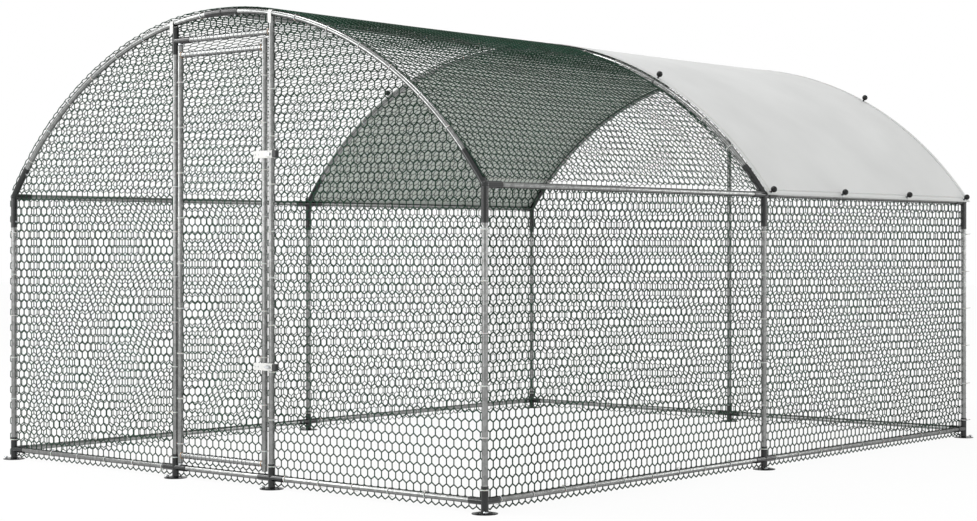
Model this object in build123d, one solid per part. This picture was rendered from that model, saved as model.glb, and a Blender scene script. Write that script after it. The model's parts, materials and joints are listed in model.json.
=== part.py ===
from build123d import *
import math
import os

# A walk-in poultry run: a tube frame with three arches, pushed together in multi-way fittings,
# closed with hexagonal wire netting, with a swinging door in front and a cover over the rear bay.
# Millimetres. Z is up, the ground is Z = 0, the door faces -Y, and X = 0 is the middle of the width.

# Overall frame
frame_width = 3000.0
bay_length = 1980.0
eave_height = 1268.0
apex_height = 2046.0
base_rail_height = 48.0

# Tube and fittings
tube_diameter = 25.0
tube_wall = 1.0
sleeve_diameter = 30.0
branch_diameter = 29.4
socket_clearance = 0.1
socket_web = 5.0
hub_swell = 1.5
hub_overlap = 2.0
end_gap = 0.5

# Feet
foot_plate_diameter = 103.0
foot_plate_rim = 3.0
foot_plate_crown = 9.0
foot_column_top = 106.0
foot_branch = 75.0
peg_hole_diameter = 9.0
peg_hole_circle = 76.0
peg_holes = 2
peg_turns = {"rising": 45.0, "falling": 135.0}

# Eave and ridge fittings, from the joint's centre to the sleeve's mouth
eave_post_sleeve = 148.0
eave_arch_sleeve = 171.0
eave_rail_sleeve = 95.0
apex_arch_sleeve = 103.0
apex_ridge_sleeve = 80.0
apex_post_sleeve = 90.0

# Doorway
door_post_spacing = 620.0
lintel_drop = 64.3
lintel_sleeve_length = 120.0
lintel_branch = 100.0
strap_width = 20.0
strap_thickness = 1.2
strap_leg = 44.0
strap_shift = 10.0
seat_gap = 0.3

# Door
hinge_side_gap = 8.0
latch_side_gap = 18.0
door_bottom_rail = 103.0
door_top_gap = 64.0
pin_diameter = 10.0
pin_clearance = 0.05
pin_length = 24.0
pin_collar_diameter = 20.0
pin_collar_height = 5.0
bush_flange = 3.0
bush_depth = 22.0
weld_gap = 0.05

# Latches
latch_heights = {"upper": 1419.0, "lower": 518.0}
hasp_length = 123.0
hasp_height = 31.0
hasp_thickness = 3.0
hasp_stand_off = 3.5
hasp_overhang = 34.0
hasp_slot_length = 34.0
hasp_slot_height = 14.0
hasp_clip_wall = 2.5
grip_length = 28.0
grip_height = 31.0
grip_depth = 16.0
grip_tongue = 16.0
swivel_shaft = 8.0
swivel_head_length = 28.0
swivel_head_width = 9.0
swivel_head_thickness = 7.0
swivel_collar_diameter = 15.0
swivel_washer = 3.0
swivel_head_lift = 3.0
swivel_collar_gap = 1.2

# Netting, drawn with cells larger than life so that each panel keeps a readable number of gaps
net_thickness = 1.2
net_ground_gap = 10.0
net_cell_width = 39.0
net_cell_side = 25.0
net_cell_slant = 12.5
net_strand = 9.0
net_selvedge = 8.0
least_gap = 0.08
wall_cells = 11.0
front_cells = 9.0
door_cells = 2.2
strip_cells = 2.2
roof_cells = 13.0
covered_roof_cells = 22.0
roof_seam = 12.0
eave_seam = 24.0

# Cover and its elastic ties
cover_thickness = 1.0
cover_overhang = 25.0
cover_drop = 14.0
cover_slack = 0.8
eyelet_diameter = 9.0
tie_ball = 30.0
tie_cord = 2.0
tie_stem = 4.0
tie_stem_bite = 1.0
tie_facets = 8
eave_tie_offsets = (30.0, 675.0, 1320.0, 1950.0)
arch_tie_x = 880.0

# Worked out from the sizes above
half_width = frame_width / 2
rise = apex_height - eave_height
arch_radius = (half_width ** 2 + rise ** 2) / (2 * rise)
arch_centre = apex_height - arch_radius
eave_angle = math.degrees(math.asin(half_width / arch_radius))
tube_r = tube_diameter / 2
bore_r = tube_r - tube_wall
sleeve_r = sleeve_diameter / 2
branch_r = branch_diameter / 2
hub_r = sleeve_r + hub_swell
socket_r = tube_r + socket_clearance
socket_stop = sleeve_r + socket_web
tube_stop = socket_stop + end_gap
frames_y = {"front": -bay_length, "middle": 0.0, "rear": bay_length}
sides = {"left": -1, "right": 1}
door_post_x = door_post_spacing / 2
hinge_x = -door_post_x + tube_diameter + hinge_side_gap
latch_x = door_post_x - tube_diameter - latch_side_gap
door_y = frames_y["front"]
net_offset = hub_r + seat_gap
wall_offset = sleeve_r + seat_gap
cover_offset = net_offset + net_thickness + cover_slack
arch_tie_angle = math.degrees(math.asin(arch_tie_x / arch_radius))

os.makedirs("parts", exist_ok=True)


def arch_degrees(length):
    """The angle that a length along the arch's centre line spans."""
    return math.degrees(length / arch_radius)


def arch_height(x, offset=0.0):
    """The height of the arch's line at x, moved outwards by an offset."""
    return arch_centre + math.sqrt((arch_radius + offset) ** 2 - x ** 2)


def rod(start, end, radius):
    """A round bar from one point to another."""
    run = Vector(*end) - Vector(*start)
    return Solid.make_cylinder(radius, run.length, Plane(Vector(*start), z_dir=run))


def tube(start, end):
    """A straight tube of the frame."""
    return rod(start, end, tube_r) - rod(start, end, bore_r)


def bent_rod(y, first, last, radius):
    """A round bar along the arch between two angles from its top, positive towards +X."""
    section = Plane((0, y, apex_height), x_dir=(0, 0, 1), z_dir=(1, 0, 0)) * Circle(radius)
    axis = Axis((0, y, arch_centre), (0, 1, 0))
    return revolve(section, axis, last - first).rotate(axis, first).solid()


def on_arch(shape, y, angle):
    """Turns a shape made at the top of an arch to an angle along it."""
    return shape.rotate(Axis((0, y, arch_centre), (0, 1, 0)), angle)


def write(name, *solids):
    """Writes the solids of one named piece, or of one group of like pieces."""
    body = solids[0] if len(solids) == 1 else Compound(children=list(solids))
    export_step(body, f"parts/{name}.step")


def branches_of(centre, directions, length, radius):
    """Solid sleeves from just behind a joint's centre, and the sockets that the tubes push into."""
    c = Vector(*centre)
    ways = [Vector(*d) for d in directions]
    sleeves = [rod(c - way * hub_overlap, c + way * length, radius) for way in ways]
    sockets = [rod(c + way * socket_stop, c + way * length, socket_r) for way in ways]
    return sleeves, sockets


def fitting(core, sleeves, sockets):
    """A welded fitting: its core and sleeves in one piece, bored for the tubes."""
    for sleeve in sleeves:
        core += sleeve
    for socket in sockets:
        core -= socket
    return core


# Feet
def foot(x, y, directions, turn="rising"):
    """A dished round plate with peg holes, a column with the post's socket, and rail sockets."""
    plate_r = foot_plate_diameter / 2
    outline = Polyline(
        (0, 0), (plate_r, 0), (plate_r, foot_plate_rim), (sleeve_r + socket_web, foot_plate_crown),
        (0, foot_plate_crown), close=True,
    )
    plate = revolve(make_face(Plane.XZ * outline), Axis.Z)
    for i in range(peg_holes):
        angle = math.radians(peg_turns[turn] + 360 / peg_holes * i)
        hole = Vector(math.cos(angle), math.sin(angle), 0) * (peg_hole_circle / 2)
        plate -= rod(hole, hole + Vector(0, 0, foot_plate_crown), peg_hole_diameter / 2)
    centre = (0, 0, base_rail_height)
    column = rod((0, 0, foot_plate_rim), (0, 0, foot_column_top), sleeve_r)
    post_socket = rod((0, 0, base_rail_height + socket_stop), (0, 0, foot_column_top), socket_r)
    sleeves, sockets = branches_of(centre, directions, foot_branch, branch_r)
    return Pos(x, y, 0) * fitting(plate, [column, *sleeves], [post_socket, *sockets])


left_way, right_way, front_way, rear_way = (-1, 0, 0), (1, 0, 0), (0, -1, 0), (0, 1, 0)
along_depth = {"front": [rear_way], "middle": [front_way, rear_way], "rear": [front_way]}
inward = {"left": right_way, "right": left_way}
falling_feet = ("front_right", "middle_right", "rear_left")
for place, y in frames_y.items():
    for side, sign in sides.items():
        ways = along_depth[place] + ([inward[side]] if place != "middle" else [])
        turn = "falling" if f"{place}_{side}" in falling_feet else "rising"
        write(f"foot_{place}_{side}", foot(sign * half_width, y, ways, turn))
write("foot_door_left", foot(-door_post_x, door_y, [left_way, right_way]))
write("foot_door_right", foot(door_post_x, door_y, [left_way, right_way]))
write("foot_rear_centre", foot(0, frames_y["rear"], [left_way, right_way]))


# Eave and ridge fittings
def eave_joint(y, sign, directions):
    """An elbow from a side post into the arch, with sockets for the eave rails."""
    centre = (sign * half_width, y, eave_height)
    post_sleeves, post_sockets = branches_of(centre, [(0, 0, -1)], eave_post_sleeve, sleeve_r)
    rail_sleeves, rail_sockets = branches_of(centre, directions, eave_rail_sleeve, branch_r)
    mouth = sign * (eave_angle - arch_degrees(eave_arch_sleeve))
    stop = sign * (eave_angle - arch_degrees(socket_stop))
    root = sign * (eave_angle + arch_degrees(hub_overlap))
    arch_sleeve = bent_rod(y, *sorted([mouth, root]), sleeve_r)
    arch_socket = bent_rod(y, *sorted([mouth, stop]), socket_r)
    hub = Pos(*centre) * Sphere(hub_r)
    return fitting(
        hub, [*post_sleeves, arch_sleeve, *rail_sleeves], [*post_sockets, arch_socket, *rail_sockets]
    )


def apex_joint(y, directions, post_length):
    """A tee or cross at the top of an arch, with a socket for the rear post where there is one."""
    centre = (0, y, apex_height)
    span, stop = arch_degrees(apex_arch_sleeve), arch_degrees(socket_stop)
    hub = Pos(*centre) * Sphere(hub_r)
    arch_sleeve = bent_rod(y, -span, span, sleeve_r)
    arch_sockets = [bent_rod(y, stop, span, socket_r), bent_rod(y, -span, -stop, socket_r)]
    sleeves, sockets = branches_of(centre, directions, apex_ridge_sleeve, branch_r)
    if post_length:
        post_sleeves, post_sockets = branches_of(centre, [(0, 0, -1)], post_length, branch_r)
        sleeves += post_sleeves
        sockets += post_sockets
    return fitting(hub, [arch_sleeve, *sleeves], arch_sockets + sockets)


for place, y in frames_y.items():
    for side, sign in sides.items():
        write(f"eave_joint_{place}_{side}", eave_joint(y, sign, along_depth[place]))
    post_length = apex_post_sleeve if place == "rear" else 0
    write(f"apex_joint_{place}", apex_joint(y, along_depth[place], post_length))

# Posts, each pushed down into its foot and up into its fitting
post_bottom = base_rail_height + tube_stop
for place, y in frames_y.items():
    for side, sign in sides.items():
        x = sign * half_width
        write(f"post_{place}_{side}", tube((x, y, post_bottom), (x, y, eave_height - tube_stop)))
rear_y = frames_y["rear"]
write("post_rear_centre", tube((0, rear_y, post_bottom), (0, rear_y, apex_height - tube_stop)))

# The door posts stop below the sloping arch, and the right one is drilled for the swivel staples
door_post_top = arch_height(door_post_x + tube_r, -tube_r) - end_gap
lintel_height = arch_height(door_post_x + sleeve_r, -tube_r) - lintel_drop
door_top_rail = lintel_height - door_top_gap
door_posts = {
    side: tube((sign * door_post_x, door_y, post_bottom), (sign * door_post_x, door_y, door_post_top))
    for side, sign in sides.items()
}
for height in latch_heights.values():
    front, back = door_y - tube_diameter, door_y + tube_diameter
    door_posts["right"] -= rod(
        (door_post_x, front, height), (door_post_x, back, height), swivel_shaft / 2 + pin_clearance
    )
for side, post in door_posts.items():
    write(f"door_post_{side}", post)

# Base, eave and ridge rails
def rail_x(first, last, y, z):
    """A rail along X between two joint centres."""
    return tube((first + tube_stop, y, z), (last - tube_stop, y, z))


def rails_y(x, z):
    """The two rails of one line along the depth, one in each bay."""
    stops = list(frames_y.values())
    return [tube((x, a + tube_stop, z), (x, b - tube_stop, z)) for a, b in zip(stops, stops[1:])]


front_stops = [-half_width, -door_post_x, door_post_x, half_width]
rear_stops = [-half_width, 0, half_width]
for place, y, stops in (("front", door_y, front_stops), ("rear", rear_y, rear_stops)):
    rails = [rail_x(a, b, y, base_rail_height) for a, b in zip(stops, stops[1:])]
    write(f"base_rails_{place}", *rails)
for side, sign in sides.items():
    write(f"base_rails_{side}", *rails_y(sign * half_width, base_rail_height))
    write(f"eave_rails_{side}", *rails_y(sign * half_width, eave_height))
write("ridge_rails", *rails_y(0, apex_height))

# Arches, each of two bent half tubes
for place, y in frames_y.items():
    ends = arch_degrees(tube_stop), eave_angle - arch_degrees(tube_stop)
    halves = []
    for sign in sides.values():
        first, last = sorted(sign * end for end in ends)
        halves.append(bent_rod(y, first, last, tube_r) - bent_rod(y, first, last, bore_r))
    write(f"arch_{place}", *halves)

# Lintel, its tee on the left door post, and the straps over the arch
half_sleeve = lintel_sleeve_length / 2
tee_centre = Vector(-door_post_x, door_y, lintel_height)
tee = rod(tee_centre - Vector(0, 0, half_sleeve), tee_centre + Vector(0, 0, half_sleeve), sleeve_r)
tee += rod(tee_centre, tee_centre + Vector(lintel_branch, 0, 0), sleeve_r)
tee -= rod(tee_centre - Vector(0, 0, half_sleeve), tee_centre + Vector(0, 0, half_sleeve), socket_r)
tee -= rod(tee_centre + Vector(socket_stop, 0, 0), tee_centre + Vector(lintel_branch, 0, 0), socket_r)
write("lintel_joint", tee)
lintel = tube((-door_post_x + tube_stop, door_y, lintel_height), (door_post_x, door_y, lintel_height))
lintel -= rod((door_post_x, door_y, 0), (door_post_x, door_y, apex_height), tube_r + weld_gap)
write("door_lintel", lintel)


def strap(x, inner_r):
    """A bent band at x that hooks over the sloping arch and runs straight down both faces of a door post."""
    slope = math.asin(x / arch_radius)
    along_arch = Vector(math.cos(slope), 0, -math.sin(slope))
    run = strap_width / math.cos(slope)
    lift = tube_r / math.cos(slope) + seat_gap - inner_r
    outer_r = inner_r + strap_thickness
    start = Vector(x, door_y, arch_height(x) + lift) - along_arch * run / 2
    side_view = Plane(start, x_dir=(0, 1, 0), z_dir=(1, 0, 0))
    outer = Circle(outer_r) + Pos(0, -strap_leg / 2) * Rectangle(2 * outer_r, strap_leg)
    inner = Circle(inner_r) + Pos(0, -strap_leg / 2) * Rectangle(2 * inner_r, strap_leg)
    band = outer - inner - Pos(0, -strap_leg - outer_r) * Rectangle(4 * outer_r, 2 * outer_r)
    return extrude(side_view * band, run, dir=along_arch)


# The left strap stands beside the middle of the tee's sleeve, the right one on its post
left_strap = strap(-door_post_x - strap_shift, sleeve_r + seat_gap)
right_strap = strap(door_post_x, tube_r + seat_gap)
write("post_straps", left_strap, right_strap)

# Door hinge: a pin with a collar on the left door foot and one under the lintel's tee
sill_top = base_rail_height + sleeve_r
head_bottom = lintel_height - sleeve_r
collar_r = pin_collar_diameter / 2
pin_r = pin_diameter / 2


def hinge_pin(fitting_z, way):
    """A pin and its collar, shaped to the sleeve that they are welded to."""
    seat = fitting_z + way * (sleeve_r + pin_collar_height)
    body = rod((hinge_x, door_y, fitting_z), (hinge_x, door_y, seat), collar_r)
    body += rod((hinge_x, door_y, fitting_z), (hinge_x, door_y, seat + way * pin_length), pin_r)
    x = door_post_x + lintel_branch
    return body - rod((-x, door_y, fitting_z), (x, door_y, fitting_z), sleeve_r + weld_gap)


write("hinge_pins", hinge_pin(base_rail_height, 1), hinge_pin(lintel_height, -1))
door_bottom = sill_top + pin_collar_height + seat_gap + bush_flange
door_top = head_bottom - pin_collar_height - 2 * seat_gap - bush_flange


def hinge_bush(stile_end, way):
    """A flanged plug in a stile's end, bored for the hinge pin."""
    def stage(first, last, radius):
        bottom, top = stile_end + way * first, stile_end + way * last
        return rod((hinge_x, door_y, bottom), (hinge_x, door_y, top), radius)

    body = stage(0, bush_depth, bore_r - weld_gap) + stage(-bush_flange, 0, tube_r)
    return body - stage(-bush_flange - end_gap, bush_depth + end_gap, pin_r + pin_clearance)


write("hinge_bushes", hinge_bush(door_bottom, 1), hinge_bush(door_top, -1))

# Door frame, welded from two stiles and two rails
door_frame = None
for x in (hinge_x, latch_x):
    stile = rod((x, door_y, door_bottom), (x, door_y, door_top), tube_r)
    door_frame = stile if door_frame is None else door_frame + stile
for z in (door_bottom_rail, door_top_rail):
    door_frame += rod((hinge_x, door_y, z), (latch_x, door_y, z), tube_r)
for x in (hinge_x, latch_x):
    door_frame -= rod((x, door_y, door_bottom), (x, door_y, door_top), bore_r)
for z in (door_bottom_rail, door_top_rail):
    door_frame -= rod((hinge_x + tube_r, door_y, z), (latch_x - tube_r, door_y, z), bore_r)
write("door_frame", door_frame)

# Hasps on the latch stile: a slotted plate with a clip round the tube, and a moulded grip
hasp_back = door_y - sleeve_r - hasp_stand_off
hasp_front = hasp_back - hasp_thickness
hasp_left = latch_x - tube_r - hasp_overhang
hasp_right = hasp_left + hasp_length


def block(x0, x1, y0, y1, z0, z1):
    """A box between two corners."""
    size = (x1 - x0, y1 - y0, z1 - z0)
    return Pos((x0 + x1) / 2, (y0 + y1) / 2, (z0 + z1) / 2) * Box(*size)


def hasp(z):
    """A slotted plate over the post, held by a half clip round the stile."""
    low, high = z - hasp_height / 2, z + hasp_height / 2
    tongue_end = hasp_right + grip_tongue
    plate = block(hasp_left, hasp_right, hasp_front, hasp_back, low, high)
    tongue_half = hasp_height / 4
    plate += block(hasp_right, tongue_end, hasp_front, hasp_back, z - tongue_half, z + tongue_half)
    clip_r = tube_r + hasp_clip_wall
    clip = rod((latch_x, door_y, low), (latch_x, door_y, high), clip_r)
    clip += block(latch_x, latch_x + tube_r, hasp_back, door_y, low, high)
    reach = 2 * clip_r
    clip -= block(latch_x - reach, latch_x + seat_gap, door_y - reach, door_y + reach, low, high)
    clip -= rod((latch_x, door_y, low), (latch_x, door_y, high), tube_r + weld_gap)
    slot = SlotOverall(hasp_slot_length, hasp_slot_height)
    slot_plane = Plane((door_post_x, hasp_back, z), x_dir=(1, 0, 0), z_dir=(0, -1, 0))
    return plate + clip - extrude(slot_plane * slot, hasp_thickness)


def grip(z):
    """A rounded moulded grip, slotted for the hasp's tongue."""
    back = hasp_back
    outline = RectangleRounded(grip_length, grip_height, grip_length / 4)
    plane = Plane((hasp_right + grip_length / 2, back, z), x_dir=(1, 0, 0), z_dir=(0, -1, 0))
    body = extrude(plane * outline, grip_depth)
    body = chamfer(body.faces().sort_by(Axis.Y)[0].edges(), grip_depth / 5)
    half = hasp_height / 4 + weld_gap
    tongue_end = hasp_right + grip_tongue + weld_gap
    return body - block(hasp_right, tongue_end, hasp_front - weld_gap, hasp_back, z - half, z + half)


def swivel(z):
    """A staple that turns in the post: shaft, collar, flat head in front and washer behind."""
    def stage(y0, y1, radius):
        return rod((door_post_x, y0, z), (door_post_x, y1, z), radius)

    collar_back = door_y - tube_r - seat_gap
    head_back = hasp_front - swivel_head_lift
    washer_front = door_y + tube_r + seat_gap
    body = stage(head_back, washer_front + swivel_washer, swivel_shaft / 2)
    body += stage(collar_back, hasp_back + swivel_collar_gap, swivel_collar_diameter / 2)
    body += stage(washer_front, washer_front + swivel_washer, swivel_collar_diameter / 2)
    head = SlotOverall(swivel_head_length, swivel_head_width)
    head_plane = Plane((door_post_x, head_back, z), x_dir=(1, 0, 0), z_dir=(0, -1, 0))
    return body + extrude(head_plane * head, swivel_head_thickness)


for name, z in latch_heights.items():
    write(f"hasp_{name}", hasp(z))
    write(f"latch_swivel_{name}", swivel(z))
write("hasp_grips", *[grip(z) for z in latch_heights.values()])


# Wire netting
def hexagon(u, v, cells):
    """One gap of the net, with its twisted sides upright, as large as a number of real cells."""
    scale = cells - net_strand / net_cell_width
    half = net_cell_width * scale / 2
    side = net_cell_side * scale / 2
    tip = side + net_cell_slant * scale
    corners = [(u, v + tip), (u + half, v + side), (u + half, v - side), (u, v - tip), (u - half, v - side),
               (u - half, v + side)]
    return make_face(Polyline(*corners, close=True))


def net_gaps(outline, cells):
    """The gaps of a net in staggered rows, cut off at the selvedge along its outline."""
    inner = offset(outline, -net_selvedge)
    box = inner.bounding_box()
    pitch = net_cell_width * cells
    row = (net_cell_side + net_cell_slant) * cells
    rows = math.ceil(box.size.Y / row / 2) + 1
    columns = math.ceil(box.size.X / pitch / 2) + 1
    gaps = []
    for j in range(-rows, rows + 1):
        for i in range(-columns, columns + 1):
            cell = hexagon(box.center().X + (i + j % 2 / 2) * pitch, box.center().Y + j * row, cells)
            for gap in (inner & cell or Sketch()).faces():
                if gap.area > least_gap * cell.area:
                    gaps.append(gap)
    return gaps


def flat_net(plane, outline, cells):
    """One holed face of netting, given its thickness."""
    holes = [gap.outer_wire() for gap in net_gaps(outline, cells)]
    return plane * extrude(Face(outline.face().outer_wire(), holes), net_thickness, dir=(0, 0, 1))


def box_net(plane, u0, u1, v0, v1, cells):
    """A net with a rectangular outline."""
    outline = Pos((u0 + u1) / 2, (v0 + v1) / 2) * Rectangle(u1 - u0, v1 - v0)
    return flat_net(plane, outline, cells)


def gable_net(plane, u0, u1, v0, cells):
    """A net whose upper edge follows the arch."""
    middle = (u0 + u1) / 2
    top = [(u, arch_height(u, tube_r)) for u in (u1, middle, u0)]
    outline = make_face(Polyline(top[2], (u0, v0), (u1, v0), top[0]) + ThreePointArc(*top))
    return flat_net(plane, outline, cells)


def behind(y, gap):
    """The plane of a net whose front lies a gap behind the tubes at y."""
    return Plane((0, y + gap + net_thickness, 0), x_dir=(1, 0, 0), z_dir=(0, -1, 0))


# The front nets hang inside the front frame, between the side rails and under the ridge rail
front_plane, rear_plane = behind(door_y, net_offset), behind(rear_y, net_offset)
inner_corner, outer_corner = half_width - wall_offset, half_width + sleeve_r
door_edge = door_post_x - tube_r
ridge_notch = rod((0, door_y, apex_height), (0, 0, apex_height), wall_offset)
write("net_front_left", gable_net(front_plane, -inner_corner, -door_edge, net_ground_gap, front_cells))
write("net_front_right", gable_net(front_plane, door_edge, inner_corner, net_ground_gap, front_cells))
top_net = gable_net(front_plane, -door_edge + end_gap, door_edge - end_gap, lintel_height, strip_cells)
write("net_front_top", top_net - ridge_notch)
sill_plane = behind(door_y, wall_offset)
sill_edge = door_edge - end_gap
write("net_front_sill", box_net(sill_plane, -sill_edge, sill_edge, net_ground_gap, sill_top, strip_cells))
write("net_rear", gable_net(rear_plane, -outer_corner, outer_corner, net_ground_gap, wall_cells))
side_reach = bay_length + sleeve_r
side_top = eave_height - tube_r - seat_gap
for side, sign in sides.items():
    side_plane = Plane((sign * (half_width + wall_offset), 0, 0), x_dir=(0, sign, 0), z_dir=(sign, 0, 0))
    write(f"net_{side}", box_net(side_plane, -side_reach, side_reach, net_ground_gap, side_top, wall_cells))
door_net_plane = behind(door_y, tube_r + seat_gap)
door_net_foot, door_net_top = sill_top + bush_flange, door_top_rail + tube_r
door_net = box_net(door_net_plane, hinge_x - hinge_side_gap, latch_x, door_net_foot, door_net_top, door_cells)
write("net_door", door_net)


# Roof netting and cover, both bent over the arches
def roof_sheet(y0, y1, half_angle, offset, thickness):
    """A sheet that follows the arches between two distances along the depth."""
    section = Plane((0, y0, apex_height + offset), x_dir=(0, 1, 0), z_dir=(1, 0, 0))
    strip = section * (Pos((y1 - y0) / 2, thickness / 2) * Rectangle(y1 - y0, thickness))
    axis = Axis((0, y0, arch_centre), (0, 1, 0))
    return revolve(strip, axis, 2 * half_angle).rotate(axis, -half_angle)


def roof_net(y0, y1, cells):
    """Netting over the arches, with its twisted sides running along them."""
    half_angle = eave_angle - arch_degrees(eave_seam)
    girth = 2 * math.radians(half_angle) * arch_radius
    layout = Pos((y0 + y1) / 2, 0) * Rectangle(y1 - y0, girth)
    cutters = []
    for gap in net_gaps(layout, cells):
        middle = gap.center()
        bend = gap.bounding_box().size.Y ** 2 / (2 * arch_radius)
        flat = Plane((0, middle.X, apex_height), x_dir=(0, 1, 0), z_dir=(0, 0, 1))
        prism = extrude(flat * Pos(-middle.X, -middle.Y) * gap, hub_r + net_offset + bend, both=True)
        cutters.append(on_arch(prism, middle.X, -arch_degrees(middle.Y)))
    return roof_sheet(y0, y1, half_angle, net_offset, net_thickness) - cutters


write("net_roof_front", roof_net(-side_reach, -roof_seam / 2, roof_cells))
write("net_roof_rear", roof_net(roof_seam / 2, bay_length - roof_seam / 2, covered_roof_cells))


# Elastic ties: a ball on the cover, a stem through its eyelet and a loop round the tube
def polygon(apothem):
    """A regular outline whose flats are a given distance from its middle."""
    return Rot(0, 0, 180 / tie_facets) * RegularPolygon(apothem, tie_facets, major_radius=False)


def tie(y, angle, hold_r, along_arch):
    """One ball tie at a place on the roof. Its loop is round the arch, or round a rail along Y."""
    inner = hold_r + seat_gap / 2
    loop_axis = (1, 0, 0) if along_arch else (0, 1, 0)
    loop_plane = Plane((0, y, apex_height), x_dir=(0, 0, 1), z_dir=loop_axis)
    loop = extrude(loop_plane * (polygon(inner + tie_cord) - polygon(inner)), tie_cord / 2, both=True)
    ball_foot = cover_offset + cover_thickness + seat_gap
    stem_foot = inner + tie_cord / 2
    stem_length = ball_foot + tie_stem_bite - stem_foot
    stem = Box(tie_stem, tie_stem, stem_length, align=(Align.CENTER, Align.CENTER, Align.MIN))
    ball = extrude(polygon(tie_ball / 2), tie_ball)
    ends = ball.faces().filter_by(Axis.Z).edges()
    ball = chamfer(ends, tie_ball / 2 * (1 - math.tan(math.pi / tie_facets)))
    body = loop + Pos(0, y, apex_height + stem_foot) * stem + Pos(0, y, apex_height + ball_foot) * ball
    return on_arch(body, y, angle)


tie_places = []
for sign in sides.values():
    for y in eave_tie_offsets:
        beside_joint = min(y, bay_length - y) < eave_rail_sleeve + tie_ball
        tie_places.append((y, sign * eave_angle, sleeve_r if beside_joint else tube_r, False))
    for y in (frames_y["middle"], rear_y):
        tie_places.append((y, sign * arch_tie_angle, tube_r, True))
write("cover_ties", *[tie(*place) for place in tie_places])

# Cover over the rear bay, with an eyelet at each tie
cover_half_angle = eave_angle + arch_degrees(cover_drop)
cover = roof_sheet(-cover_overhang, rear_y + cover_overhang, cover_half_angle, cover_offset, cover_thickness)
eyelets = []
for y, angle, hold_r, along_arch in tie_places:
    eyelet = extrude(Plane((0, y, apex_height)) * polygon(eyelet_diameter / 2), cover_offset + tie_ball)
    eyelets.append(on_arch(eyelet, y, angle))
write("roof_cover", cover - eyelets)
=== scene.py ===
# %% [markdown]
# A walk-in poultry run, dressed for a studio picture.
# The CAD model gives the frame of tubes and fittings, the door and its latches, each in its true place.
# This lesson adds what a CAD model leaves plain: the hexagonal wire netting, the cloth cover with its hem
# and elastic ties, the small fasteners, the finish of every surface, and the light.
# Everything is in metres, Z is up, and the door faces -Y.

# %% Load the CAD frame
import json
import math
import bpy
import numpy as np
from mathutils import Matrix, Vector


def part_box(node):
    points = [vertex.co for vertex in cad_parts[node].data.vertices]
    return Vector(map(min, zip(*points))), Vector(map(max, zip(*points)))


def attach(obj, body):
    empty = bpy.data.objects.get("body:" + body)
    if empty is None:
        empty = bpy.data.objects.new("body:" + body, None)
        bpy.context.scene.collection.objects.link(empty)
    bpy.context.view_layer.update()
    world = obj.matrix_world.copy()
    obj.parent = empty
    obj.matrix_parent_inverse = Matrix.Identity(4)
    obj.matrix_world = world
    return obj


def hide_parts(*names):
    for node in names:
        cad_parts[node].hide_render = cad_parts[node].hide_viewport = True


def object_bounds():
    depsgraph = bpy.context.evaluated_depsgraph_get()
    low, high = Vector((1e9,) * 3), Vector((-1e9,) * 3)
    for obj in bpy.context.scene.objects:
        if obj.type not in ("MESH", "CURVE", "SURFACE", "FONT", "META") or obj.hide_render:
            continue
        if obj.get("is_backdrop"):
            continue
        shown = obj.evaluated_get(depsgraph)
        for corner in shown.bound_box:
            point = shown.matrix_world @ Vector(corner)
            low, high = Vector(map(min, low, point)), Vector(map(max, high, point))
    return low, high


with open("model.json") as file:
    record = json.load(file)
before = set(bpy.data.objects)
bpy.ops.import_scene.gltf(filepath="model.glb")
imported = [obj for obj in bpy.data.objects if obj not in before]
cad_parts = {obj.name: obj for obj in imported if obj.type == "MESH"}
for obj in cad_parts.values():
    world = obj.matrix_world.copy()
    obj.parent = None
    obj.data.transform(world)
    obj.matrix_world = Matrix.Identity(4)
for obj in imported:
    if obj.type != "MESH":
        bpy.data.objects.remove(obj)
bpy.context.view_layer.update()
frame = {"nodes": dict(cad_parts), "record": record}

# %% [markdown]
# The camera comes first, because every later choice is judged through it.
# It stands at a standing child's eye level, off the right front corner, and looks level, so upright tubes
# stay upright in the picture. A long lens keeps the farthest post three fifths as tall as the nearest.
# A small vertical shift raises the horizon in the frame without tilting the camera.

# %% Camera
eye = Vector((6.403, -7.701, 1.030))
camera_data = bpy.data.cameras.new("studio_camera")
camera_data.lens = 72.2
camera_data.sensor_width = 36.0
camera_data.shift_y = -0.01474
camera = bpy.data.objects.new("studio_camera", camera_data)
camera.location = eye
camera.rotation_euler = (math.radians(90), 0, math.radians(40.4887))
bpy.context.scene.collection.objects.link(camera)
bpy.context.scene.camera = camera
print("camera", round((eye - Vector((0, 0, 1))).length, 2), "m from the run's middle")

# %% [markdown]
# The real run was shown on white, so the floor and the world look white to the camera and in mirrors, while
# their light on the object stays at a plain level. Light Path tells the two apart: rays from the camera, and
# those that metal or glass sends on, get plain white, and the rays that carry soft light get a studio that is
# brighter overhead than at the horizon, so that crowns are lighter than skirts. The floor is white paper. It
# keeps a share of true diffuse paper for the camera too, so it still takes the shadow of feet and rails.

# %% One function for nodes, one for colours
def linear(hex_code):
    """Turns an sRGB hex value into the linear colour that shaders work in."""
    channels = [int(hex_code[i:i + 2], 16) / 255 for i in (1, 3, 5)]
    return [c / 12.92 if c <= 0.04045 else ((c + 0.055) / 1.055) ** 2.4 for c in channels] + [1.0]


def add_node(tree, kind, settings=None, inputs=None, feeds=None):
    """Adds a node with its own settings, its inputs as values or as sockets to link from, and the sockets
    that its outputs feed. The setting tones gives a ramp's sRGB tones by their places from 0 to 1."""
    node = tree.nodes.new(kind)
    for key, value in (settings or {}).items():
        if key != "tones":
            setattr(node, key, value)
            continue
        for stop, (position, tone) in zip(node.color_ramp.elements, value.items()):
            stop.position = position
            stop.color = linear(tone)
    for key, value in (inputs or {}).items():
        if isinstance(value, bpy.types.NodeSocket):
            tree.links.new(value, node.inputs[key])
        else:
            node.inputs[key].default_value = value
    for key, socket in (feeds or {}).items():
        tree.links.new(node.outputs[key], socket)
    return node


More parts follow.
